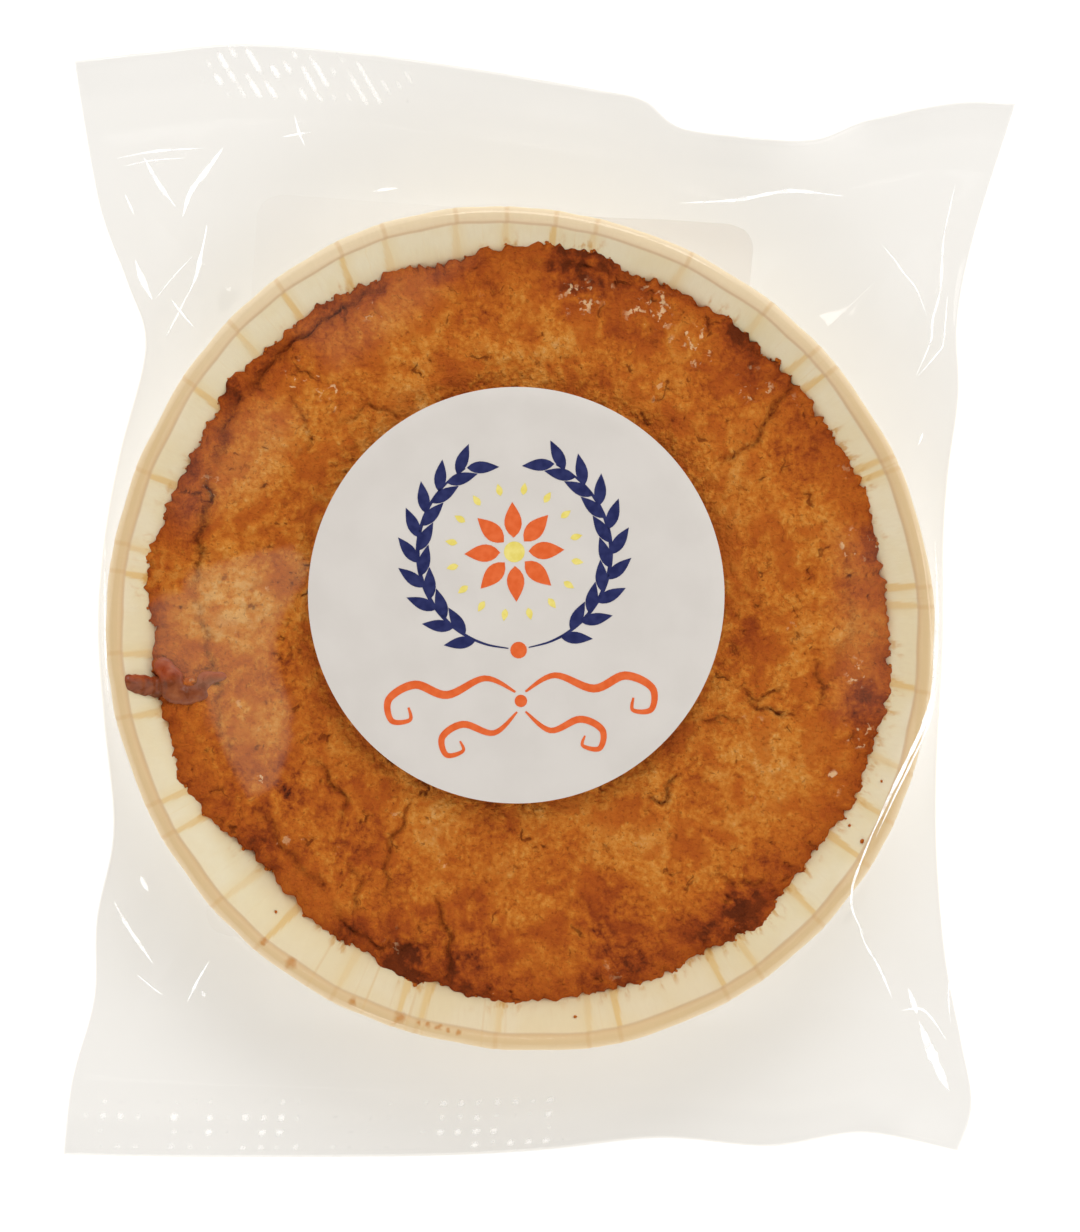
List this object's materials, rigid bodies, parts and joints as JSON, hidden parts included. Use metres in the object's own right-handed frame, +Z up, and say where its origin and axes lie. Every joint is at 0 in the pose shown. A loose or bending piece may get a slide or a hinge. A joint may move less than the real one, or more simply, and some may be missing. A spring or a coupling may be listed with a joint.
{
  "type": "breton butter cake",
  "caption": "Round butter cake with a browned crust in a pleated paper case, sealed in a clear film bag with crimped ends and a round label.",
  "frame": {"origin": "under the middle of the bag's outline, on the plane of the flat underside that rests on the table", "axes": "+X to the right of the label as it is read, +Y along the bag towards its upper crimped seal, +Z up out of the label"},
  "size_m": [0.117, 0.1372, 0.0195],
  "materials": {
    "clear_film": "clear glossy packing film with fine creases",
    "label_paper": "smooth matt white label paper",
    "label_print": "printed ink in navy, orange and pale yellow",
    "cake_crust": "browned grainy crust with fine cracks and a patchy egg glaze",
    "case_paper": "cream greaseproof paper with pressed pleats",
    "fruit_filling": "dark sticky baked fruit filling"
  },
  "bodies": {
    "root": {"bag": "clear_film", "label": "label_paper"}
  },
  "joints": []
}
